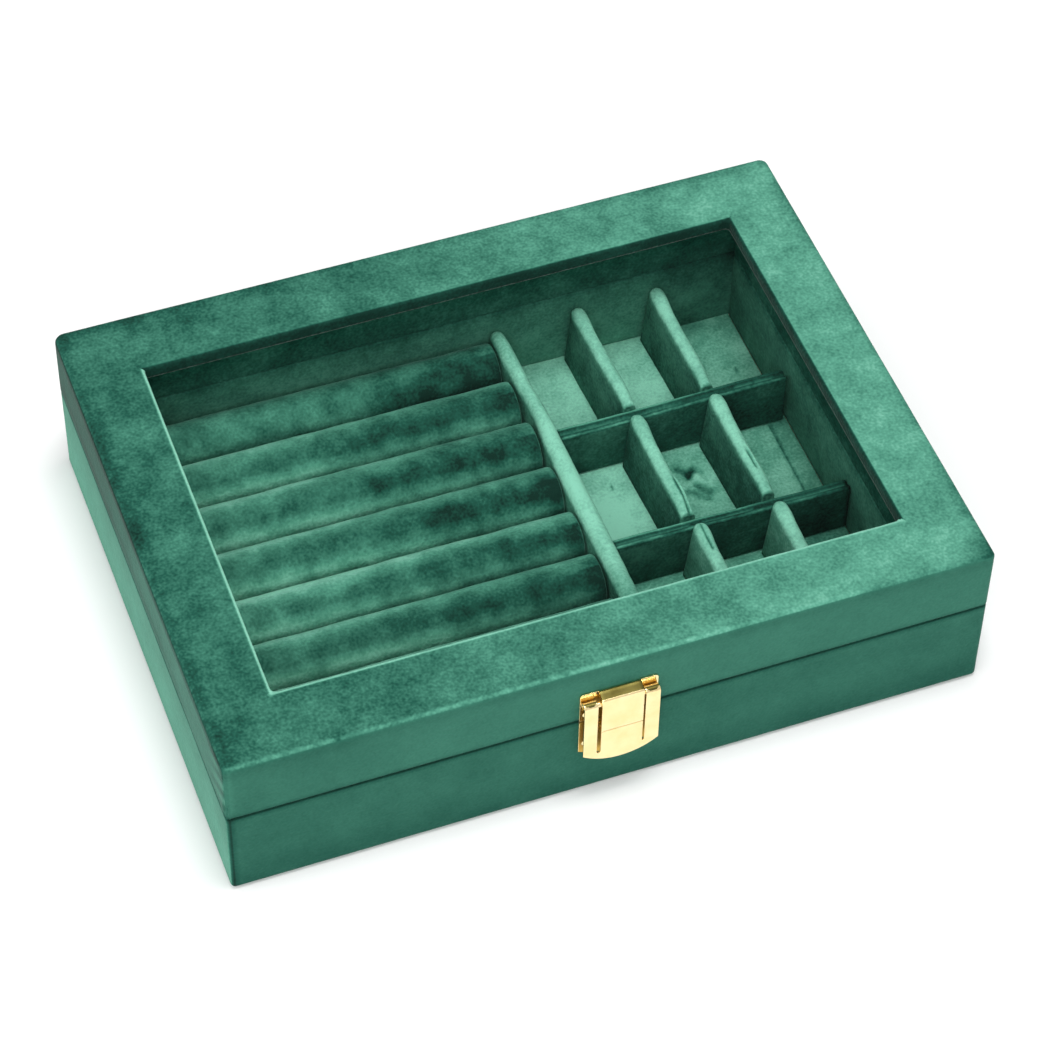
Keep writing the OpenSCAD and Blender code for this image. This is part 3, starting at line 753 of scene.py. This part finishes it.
def crossDivider(where, look, seed):
    # two plies of covered board side by side, with a dark seam between them along the top
    node = "cross_" + where
    low, high = nodeBox(node)
    middle, half = (low[1] + high[1]) / 2, (high[1] - low[1]) / 2
    front, back = look["drop"][where]
    low[0] -= look["join"]
    if where == "back":
        high[0] -= look["short"]

    def dropAt(x, y):
        along = fade(x, 24, 80)
        return between(between(*front, along), between(*back, along), fade(y, middle - 0.4, middle + 0.4))

    def reshape(p, normal):
        x, y, z = pushedIn(p, normal, look["sink"] * (0.5 + 0.5 * wave(*p, 7, seed)))
        lift = 0.0
        if z > high[2] - half:
            lift = 0.22 * wave(x, 0, 0, 9, seed + 2) - 0.2
            lift -= look["seam"] * bell(y, middle + 0.15 * wave(x, 0, 0, 6, seed + 1), 0.4)
        z += lift - dropAt(x, y) * fade(z, low[2] + 4, high[2] - 1)
        return (x, y + 0.12 * wave(x, 0, 0, 14, seed + 3), z)

    flatEnds = ("-x",) if where == "back" else ("-x", "+x")
    piece = roundedBlock(pieceName(node), low, high, look["edge"], look["steps"], innerVelvet, reshape, flatEnds)

    def tone(p, n):
        x, y, z = p
        offset = y - middle
        # the top is dark, with painted highlights along its front and back edges
        if z > high[2] - look["edge"] * 1.3 - dropAt(x, y):
            ragged = 0.7 + 0.9 * wave(x, 0, 0, 7, seed + 4) + 0.5 * wave(x, y * 2, 0, 1.3, seed + 6)
            line = look["frontLine"] * bell(offset, 0.65 - half, 0.5) * max(ragged, 0)
            line *= 1 - 0.5 * fade(x, 60, 85)
            line += look["backLine"] * bell(offset, half - 0.6, 0.32) * (1 - 0.75 * fade(x, 45, 80))
            return look["topLevel"] + line, 0.8
        if n.y < 0:
            # painted shade, deeper towards the floor and the right end
            level = look["faceLevel"] + look["lighterLeft"] * fade(x, 75, 25)
            level += look["lighterUp"] * fade(z, low[2], high[2] - 1.5)
            return level + 0.06 * wave(x, y, z, 9, seed + 5), 0.8
        return look["backLevel"], 0.5

    settle(piece, "base", node, tone)


crossDivider("back", crossDividerLook, 50)
crossDivider("front", crossDividerLook, 57)


def shortDivider(row, column, look):
    node = "short_%d%d" % (row, column)
    low, high = nodeBox(node)
    seed = 60 + row * 5 + column
    middle = (low[0] + high[0]) / 2 + look["aside"]
    low[0], high[0] = middle - look["half"], middle + look["half"]
    if row > 1:
        high[1] = crossFaces("back" if row == 2 else "front")[0] - look["gap"] + look["join"]
    if row < 3:
        low[1] = crossFaces("back" if row == 1 else "front")[1] + look["gap"] - look["join"]
    length = high[1] - low[1]
    leans = list(zip((0, 0.5, 1), look["lean"].get((row, column), (0, 0, 0))))
    slitFront, slitBack, slitStart, slitEnd, slitDepth = look["slits"].get((row, column), (0, 0, 90, 100, 0))
    loose = look["loose"].get((row, column), 0)

    def inSlit(x, y):
        offset = between(slitFront, slitBack, fade(y, slitStart, slitStart + 9))
        ends = fade(y, slitStart, slitStart + 1.5) * fade(y, slitEnd, slitEnd - 3)
        return bell(x, middle + offset, 0.36) * ends

    def sideways(y, share, across):
        # share is 0 at the foot and 1 at the top, across is 0 on the left face and 1 on the right
        back, front = high[1] - y, y - low[1]
        part, foot = min(max(back / length, 0), 1), 1 - share
        left = -look["half"] + 0.45 * share * bell(back, 0, 2.5) - foot * (1.9 - 1.4 * part)
        right = look["half"] + 0.2 * foot - 0.7 * share * fade(front, 9, 0) + 0.5 * share * bell(back, 4, 4)
        right += share * (loose * fade(front, 15, 11) - 0.3 * bell(back, 0, 1.5))
        return middle + left + (right - left) * across + curveAt(leans, part) * share

    def reshape(p, normal):
        share = (p[2] - low[2]) / (high[2] - low[2])
        x, y, z = pushedIn(p, normal, look["sink"] * (0.5 + 0.5 * wave(*p, 6, seed)))
        top = fade(z, high[2] - 2.5, high[2])
        z -= look["dip"] * fade(high[1] - y, 2.5, 0) * top  # the ridge dips at its ends
        z -= (0.35 * bell(y, low[1] + 2.6, 0.8) + 0.9 * bell(y, low[1], 1.1) * (row < 3)) * top
        z -= slitDepth * inSlit(x, y) * top
        x = sideways(y, share, (x - low[0]) / (high[0] - low[0]))
        x += (look["bend"] * wave(0, y, 0, 13, seed + 1) + 0.07 * wave(0, y, 0, 4, seed + 2)) * share
        return (x, y, z)

    piece = roundedBlock(node.replace("short_", "shortDivider"), low, high, look["half"] * 0.93, look["steps"],
                         innerVelvet, reshape, ("-y", "-z"))

    def tone(p, n):
        back, front = high[1] - p.y, p.y - low[1]
        if n.y < -0.6:  # the end is tucked in behind a little curl, drawn as a ring of painted shade
            curl = bell(math.hypot(p.x - middle, p.z - high[2] + 2.3), 0.9, 0.4)
            return look["endLevel"] - look["curl"] * curl, 0.8
        # painted light on the top; painted shade low down at the front end, towards the back end and in the slit
        up = max(fade(n.z, 0.0, 0.75), 0.5 * fade(p.z, high[2] - 3.2, high[2] - 0.8))
        level = look["faceLevels"][row] if n.x < 0 else look["rightLevel"]
        level += 0.16 * fade(back, length, length - 16) * fade(p.z, low[2], high[2] - 4)
        level -= 0.06 * fade(back, 8, 0)
        level += (look["topLevel"] - level) * up - 0.12 * fade(back, 7, 0) * up
        level -= 0.7 * inSlit(p.x - leans[1][1] * fade(front, 2, 9), p.y) * up
        return level + 0.05 * wave(*p, 8, seed + 3), 1.0

    settle(piece, "base", node, tone)


for row in (1, 2, 3):
    for column in (1, 2):
        shortDivider(row, column, shortDividerLook)
print("linings and dividers made")

# floor of the compartments
floorLiningLook = {
    "edge": 0.4, "steps": (0.5, 0.9, 0.6), "sink": 0.12, "backShade": 0.12, "beyondFold": 0.14,
    "levels": [[1.14, 1.12, 0.87], [1.25, 0.94, 0.90], [0.85, 0.80, 0.64]],
    "columnEdges": (42.2, 64.0), "rowEdges": (20.6, -19.8), "rowTops": (61, 18.7, -21.7),
    # creases of the loose lining: x and y of both ends, half width, change of level (painted shade in the creases,
    # painted highlight on the ridges) and of height
    "creases": [
        (51.5, 12.0, 53.6, 9.4, 1.3, -0.55, -0.5), (53.6, 9.4, 55.4, 11.0, 0.9, -0.50, -0.4),
        (53.4, 9.2, 52.8, 7.6, 0.8, -0.40, -0.3), (55.0, 10.2, 57.2, 9.0, 0.7, -0.28, -0.2),
        (54.3, 4.9, 56.8, 2.0, 1.1, -0.45, -0.4), (51.2, 3.7, 53.0, 2.4, 0.8, -0.38, -0.3),
        (53.6, 1.2, 55.8, -0.6, 0.9, -0.32, -0.3), (55.0, 8.4, 56.7, 4.6, 0.8, 0.22, 0.5),
        (59.9, 6.9, 57.7, 3.7, 0.7, 0.14, 0.35), (52.6, 6.6, 53.2, 4.2, 0.7, 0.10, 0.3),
        (32.6, 12.6, 32.8, 11.2, 0.4, -0.60, -0.2), (80.0, 39.5, 80.2, 41.0, 0.4, -0.50, -0.2),
        (80.9, 18.8, 80.5, -19.0, 0.42, -0.55, -0.3),
    ],
}


def floorLining(look):
    low, high = nodeBox("floor_lining")
    flat = sunken(look["sink"], 9, 90)

    def creased(x, y, part):
        total = 0.0
        for startX, startY, endX, endY, width, *changes in look["creases"]:
            alongX, alongY = endX - startX, endY - startY
            t = min(max(((x - startX) * alongX + (y - startY) * alongY) / (alongX ** 2 + alongY ** 2), 0), 1)
            total += changes[part] * bell(math.hypot(x - startX - alongX * t, y - startY - alongY * t), 0, width)
        return total

    def reshape(p, normal):
        x, y, z = flat(p, normal)
        return (x, y, z + creased(x, y, 1)) if normal.z > 0.5 else (x, y, z)

    piece = roundedBlock("floorLining", low, high, look["edge"], look["steps"], innerVelvet, reshape)

    def tone(p, n):
        x, y, z = p
        row = sum(y <= edge for edge in look["rowEdges"])
        column = sum(x >= edge for edge in look["columnEdges"])
        level = look["levels"][row][column] + creased(x, y, 0)
        level += 0.07 * wave(x, y, 0, 11, 92) + 0.07 * wave(x, y, 0, 4, 93)
        if row == 1:
            level -= look["beyondFold"] * fade(x, 80.6, 81.4)
        return level - look["backShade"] * fade(y, look["rowTops"][row] - 16, look["rowTops"][row]), 1.1

    settle(piece, "base", "floor_lining", tone)


floorLining(floorLiningLook)

low, high = nodeBox("roll_bed")
rollBed = roundedBlock("rollBed", low, high, 0.6, (4, 4, 1), greenFoam, sunken(0.1, 6, 31))
settle(rollBed, "base", "roll_bed")

# ring rolls: each a sewn tube blown up by a cloth simulation, then pressed between its neighbours
rollLook = {
    "around": 36, "along": 56, "caps": 4, "capRound": 0.8, "endGap": 0.25, "sideGap": 0.12,
    "startShare": 0.93, "enlarge": 10.0, "frames": 20, "mostGrowth": 0.9, "sag": 0.3, "ripple": 0.16, "fill": 0.85,
    "cloth": {"use_pressure": True, "uniform_pressure_force": 4.0, "quality": 5, "tension_stiffness": 25,
              "compression_stiffness": 25, "bending_stiffness": 0.4},
    # level of the pile from the back of the crown (0) to low in front (1), a painted sheen lightest along the
    # crown and painted light low in front where the next roll shades it, and what each roll adds
    "round": [(0, 1.02), (0.06, 0.98), (0.125, 0.76), (0.19, 0.62), (0.25, 0.55), (0.375, 0.47), (0.5, 0.43),
              (0.65, 0.44), (0.75, 0.62), (0.85, 0.76), (0.94, 0.95), (1, 0.90)],
    "crownTurn": 51.5, "roundReach": 1.56, "endLevel": 0.34, "hindLevel": 0.45,
    "lifts": [0.09, -0.02, 0.0, 0.0, 0.20, 0.0, 0.05, 0.0],
}


def tubeMesh(name, radius, length, look):
    # along x from 0 to length, with flat sewn ends whose edge is a little rounded
    curl, caps, along, count = look["capRound"], look["caps"], look["along"], look["around"]
    end = [(0.0, (radius - curl) * (i + 1) / caps) for i in range(caps)]
    end += arc(curl, radius - curl, curl, 180, 90, 3)[1:]
    middle = [(x, radius) for x in spread(curl, length - curl, along)[1:-1]]
    stations = end + middle + [(length - x, r) for x, r in reversed(end)]
    angles = [2 * math.pi * k / count for k in range(count)]
    points = [(x, math.cos(angle) * r, math.sin(angle) * r) for x, r in stations for angle in angles]
    faces = ringFaces(count, len(stations), False)
    for start, x in ((0, 0.0), ((len(stations) - 1) * count, length)):
        hub = len(points)
        points.append((x, 0.0, 0.0))
        faces += [(start + k, start + (k + 1) % count, hub) for k in range(count)]
    return makePiece(name, points, faces, rollVelvet)


def blowUp(piece, look):
    # the cloth solver works better on a larger tube
    before = [vertex.co.copy() for vertex in piece.data.vertices]
    for vertex in piece.data.vertices:
        vertex.co *= look["enlarge"]
    cloth = piece.modifiers.new("blowUp", "CLOTH")
    setAll(cloth.settings, **look["cloth"])
    cloth.settings.effector_weights.gravity = 0
    cloth.point_cache.frame_end = look["frames"]
    for frameNumber in range(1, look["frames"] + 1):
        scene.frame_set(frameNumber)
    applyModifiers(piece)
    cap, most = look["mostGrowth"] * milli, 0.0
    for vertex, start in zip(piece.data.vertices, before):
        move = vertex.co / look["enlarge"] - start
        most = max(most, move.length / milli)
        vertex.co = start + (move.normalized() * cap if move.length > cap else move)
    scene.frame_set(1)
    return most


def ringRoll(number, look):
    low, high = nodeBox("roll_%d" % number)
    radius = (high[2] - low[2]) / 2
    centreY, centreZ = (low[1] + high[1]) / 2, (low[2] + high[2]) / 2
    length = high[0] - low[0] - look["endGap"]
    roll = tubeMesh("ringRoll%d" % number, radius * look["startShare"], length, look)
    print("ring roll", number, "grew by up to %.2f mm" % blowUp(roll, look))
    addModifier(roll, "SUBSURF", levels=1)
    applyModifiers(roll)
    for vertex in roll.data.vertices:
        x, y, z = vertex.co / milli
        reach = math.hypot(y, z)
        if reach > 0.01:
            give = look["sag"] * (0.5 + 0.5 * wave(x, y, z, 15, number))
            give += look["ripple"] * wave(x * 0.6, y, z, 4.5, number + 9)
            wanted = min(reach, radius) - max(give, 0.0) * fade(reach, radius * 0.4, radius * 0.9)
            y, z = y / reach * wanted, z / reach * wanted
        y = min(max(y, look["sideGap"] - radius), radius - look["sideGap"])
        vertex.co = Vector((low[0] + 0.2 + min(max(x, 0), length), centreY + y, centreZ + z)) * milli
    roll.data.update()

    def tone(p, n):
        x, y, z = p
        # painted shade on the end, which stands against the divider
        if n.x > 0.5:
            return look["endLevel"], 0.6
        # painted sheen, set by how far round from the crown a point lies
        turn = math.degrees(math.atan2(-(y - centreY), z - centreZ)) + look["crownTurn"]
        across = (1 - math.cos(math.radians(turn))) / look["roundReach"] if turn > 0 else 0.0
        dark = fade(x, -80, 0) * 0.6 + fade(x + 12 * wave(0, y, 0, 20, 71), -60, 10) * 0.4  # darker to the right
        if number == 1:
            far = fade(x, -35, -5)
            level = look["hindLevel"] - 0.26 * far - 0.08 * far * fade(across, 0.2, 0.5)
        else:
            level = curveAt(look["round"], across) * (1 - 0.40 * dark) - 0.14 * dark * bell(across, 0.48, 0.25)
            level -= 0.12 * fade(wave(x, y * 2, 0, 14, 72 + number), 0.05, 0.45) * dark
        # painted shade near the divider, except along the crown
        if x > 6:
            level += (0.05 if across < 0.3 else -0.25) * fade(x, 6, 14)
        level += look["lifts"][number - 1] * (1 - 1.3 * across)
        return level + 0.05 * wave(x, y, z, 9, 80 + number), 1.0

    settle(roll, "base", "roll_%d" % number, tone)


for number in range(1, 9):
    ringRoll(number, rollLook)
print("ring rolls made")

# latch: bent from sheet brass
frontY = lidLow[1]
latchShape = {
    "sheet": 0.5, "bevel": 0.1, "pinOut": 1.9, "pinUp": 35.85, "roll": 1.05, "halfWidth": 9.9,
    "leftSlot": (-6.35, -5.35), "rightSlot": (5.6, 6.1), "slotLow": 18.3, "curve": 3.5, "webLow": 17.85,
    "line": 26.2, "lineGap": 0.12, "lipReach": 1.1, "bend": 0.3,
    "plateHalf": 10.2, "plateLow": 28.75, "earCut": 34.2, "earRound": 0.9, "foldUp": 1.05,
    "strikeCurve": 2.6, "flangeHalf": 5.2, "flangeUp": 26.55, "flangeOuts": (0.25, 0.8, 1.35, 1.85),
}
bright, brown, olive = 0, 1, 2  # gilding in front, painted shade behind the front sheet, and a painted reflection where a fold mirrors the velvet


def bentSheet(node, body, grids, shape, shadeOf):
    # grids: rows of points on the middle of the sheet as (x, out, height), or None where the metal is cut away
    # shadeOf(x, out, height, normal) picks one of three gildings for a face: bright, painted shade and painted
    # reflection
    points, faces, index = [], [], {}

    def vertex(p):
        key = tuple(round(c, 4) for c in p)
        if key not in index:
            index[key] = len(points)
            points.append((p[0], frontY - p[1], p[2]))
        return index[key]

    for rows in grids:
        for lower, upper in zip(rows, rows[1:]):
            for quad in zip(lower, lower[1:], upper[1:], upper):
                if None not in quad:
                    faces.append([vertex(q) for q in quad])
    piece = makePiece(pieceName(node), points, faces, gilding)
    addModifier(piece, "SOLIDIFY", thickness=shape["sheet"] * milli, offset=0, use_even_offset=True)
    addModifier(piece, "BEVEL", width=shape["bevel"] * milli, segments=3, limit_method="ANGLE",
                angle_limit=math.radians(40))
    applyModifiers(piece)
    piece.data.materials.append(shadedGilding)
    piece.data.materials.append(foldGilding)
    for face in piece.data.polygons:
        x, y, z = face.center / milli
        face.material_index = shadeOf(x, frontY - y, z, face.normal)
    settle(piece, body, node)


def columns(shape, half):
    # x of every column, and which of them belong to the legs and to the tongue between the slots
    (a, b), (c, d) = shape["leftSlot"], shape["rightSlot"]
    xs = [-half]
    for start, end, steps in ((-half, a, 12), (a, b, 4), (b, c, 12), (c, d, 4), (d, half, 12)):
        xs += spread(start, end, steps)[1:]
    legs = [x <= a + 1e-6 or x >= d - 1e-6 for x in xs]
    tongue = [b - 1e-6 <= x <= c + 1e-6 for x in xs]
    return xs, legs, tongue


def follow(path, xs, wanted):
    return [[(x, out, z) if use else None for x, use in zip(xs, wanted)] for out, z in path]


def arcUp(half, rise, x):
    # height at x of an arc that rises by rise from its middle to x = half
    swing = (half ** 2 + rise ** 2) / (2 * rise)
    return swing - math.sqrt(swing ** 2 - x * x)


def latchFlap(shape):
    xs, legs, tongue = columns(shape, shape["halfWidth"])
    pinOut, pinUp, roll, slotLow, curl = [shape[key] for key in ("pinOut", "pinUp", "roll", "slotLow", "bend")]
    out = pinOut + roll
    web = []
    for share in (0, 0.35, 0.7, 1):
        row = []
        for x in xs:
            low = shape["webLow"] - shape["curve"] + arcUp(shape["halfWidth"], shape["curve"], x)
            dip = 0.0
            for start, end in (shape["leftSlot"], shape["rightSlot"]):
                if start < x < end:
                    dip = math.sqrt(((end - start) / 2) ** 2 - (x - (start + end) / 2) ** 2)
            row.append((x, out, between(low, slotLow - dip, share)))
        web.append(row)
    legPath = [(out, z) for z in spread(slotLow, pinUp, 9)] + arc(pinOut, pinUp, roll, 0, 255, 24)[1:]
    lipTop = shape["line"] - shape["lineGap"] - shape["sheet"] / 2
    tonguePath = [(out, z) for z in spread(slotLow, lipTop - curl, 6)]
    tonguePath += arc(out - curl, lipTop - curl, curl, 0, 90, 4)[1:] + [(shape["lipReach"], lipTop)]

    def shadeOf(x, o, z, normal):
        # a painted reflection: the curl mirrors the dark velvet in a crescent; painted shade where the metal lies
        # behind the front sheet
        turn = math.degrees(math.atan2(z - pinUp, o - pinOut))
        start, end = (-9.6, shape["leftSlot"][0] - 0.1) if x < 0 else (shape["rightSlot"][1] + 0.2, 9.7)
        part = 1 - ((x - start) / (end - start) * 2 - 1) ** 2
        if part > 0 and math.hypot(z - pinUp, o - pinOut) > roll + 0.1 and 74 - 34 * part < turn < 92:
            return olive
        return brown if o < out - 0.2 and z < pinUp - 0.5 else bright

    grids = [web, follow(legPath, xs, legs), follow(tonguePath, xs, tongue)]
    bentSheet("latch_flap", "flap", grids, shape, shadeOf)


latchFlap(latchShape)


def latchPlate(shape):
    # the plate's middle is bent forwards over the pin and down in front; an ear stands at each side
    half, cut, corner, curl = [shape[key] for key in ("plateHalf", "earCut", "earRound", "bend")]
    xs, legs, tongue = columns(shape, half)
    besides = [x <= shape["leftSlot"][1] + 1e-6 or x >= shape["rightSlot"][0] - 1e-6 for x in xs]
    top, out = nodeBox("latch_plate")[1][2], shape["pinOut"] + shape["roll"]
    back, crest, fold = shape["sheet"] / 2, top - 0.3, shape["pinUp"] + shape["roll"] + shape["foldUp"]
    whole = [[(x, back, z) for x in xs] for z in spread(shape["plateLow"], cut, 6)]
    ears = []
    rounded = [top - corner * (1 - math.sin(math.radians(t))) for t in (22, 45, 67, 90)]
    for z in spread(cut, top - corner, 3) + rounded:
        cutIn = corner - math.sqrt(max(0.0, corner ** 2 - max(0.0, z - top + corner) ** 2))
        ears.append([(x - math.copysign(cutIn * fade(abs(x), 7.5, half), x), back, z) if use else None
                     for x, use in zip(xs, besides)])
    path = [(back, z) for z in spread(cut, crest - 0.35, 4)] + arc(back + 0.35, crest - 0.35, 0.35, 180, 70, 4)[1:]
    path += [(back + 0.47 + (out - back - 0.75) * t, crest - 0.02 + (fold - crest) * t) for t in (0.33, 0.66, 1)]
    path += arc(out - curl, fold - 0.32, curl, 75, 0, 4)[1:]
    path += [(out, z) for z in spread(fold - 0.32, shape["line"], 8)[1:]]

    def shadeOf(x, o, z, normal):
        # painted reflection of the velvet on the top of the fold, painted shade where the plate lies behind the
        # flap
        if o > out - 0.35:
            return bright
        if z > fold - 0.6:
            return olive if normal.z > 0.2 and o > 0.55 else bright
        return brown if abs(x) < shape["halfWidth"] else bright

    bentSheet("latch_plate", "lid", [whole, ears, follow(path, xs, tongue)], shape, shadeOf)


latchPlate(latchShape)


def latchStrike(shape):
    low, high = nodeBox("latch_strike")
    half, straight = shape["plateHalf"], low[2] + shape["strikeCurve"] + 0.3
    xs, back = spread(-half, half, 24), shape["sheet"] / 2
    edge = [low[2] + arcUp(half, shape["strikeCurve"], x) for x in xs]
    curved = [[(x, back, between(z, straight, share)) for x, z in zip(xs, edge)] for share in (0, 0.3, 0.6, 1)]
    plate = [[(x, back, z) for x in xs] for z in spread(straight, high[2], 6)]
    flangeXs = spread(-shape["flangeHalf"], shape["flangeHalf"], 8)
    flange = [[(x, out, shape["flangeUp"]) for x in flangeXs] for out in shape["flangeOuts"]]

    def shadeOf(x, o, z, normal):
        # painted shade: the strike lies behind the flap
        return brown if abs(x) < shape["halfWidth"] + 0.1 and z > low[2] + 0.5 else bright

    bentSheet("latch_strike", "base", [curved, plate, flange], shape, shadeOf)


latchStrike(latchShape)
print("latch made")

# finishes on the pieces that keep their own shape
finishes = {
    fibreboard: "floor_board base_front base_back base_left base_right lid_front lid_back lid_left lid_right",
    gilding: "latch_pin latch_nails_base latch_nails_lid hinge_base_left hinge_base_right hinge_lid_left "
             "hinge_lid_right hinge_pin_left hinge_pin_right hinge_nails_base hinge_nails_lid",
    flockedPaper: "underside",
    liningPaper: "window_frame",
    paneGlass: "glass",
}
for material, nodeNames in finishes.items():
    for nodeName in nodeNames.split():
        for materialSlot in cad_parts[nodeName].material_slots:
            materialSlot.material = material

# floor
floorLook = {"half": 3000, "height": -0.2, "colour": (0.93, 0.93, 0.93, 1)}
floorMaterial, floorTree, floorShader = newMaterial("paleFloor")
setSockets(floorShader, {"Base Color": floorLook["colour"], "Roughness": 0.9, "Specular IOR Level": 0.1})
floorCorners = [(x * floorLook["half"], y * floorLook["half"], floorLook["height"])
                for x, y in ((-1, -1), (1, -1), (1, 1), (-1, 1))]
makePiece("studioFloor", floorCorners, [(0, 1, 2, 3)], floorMaterial)

print("scene finished")
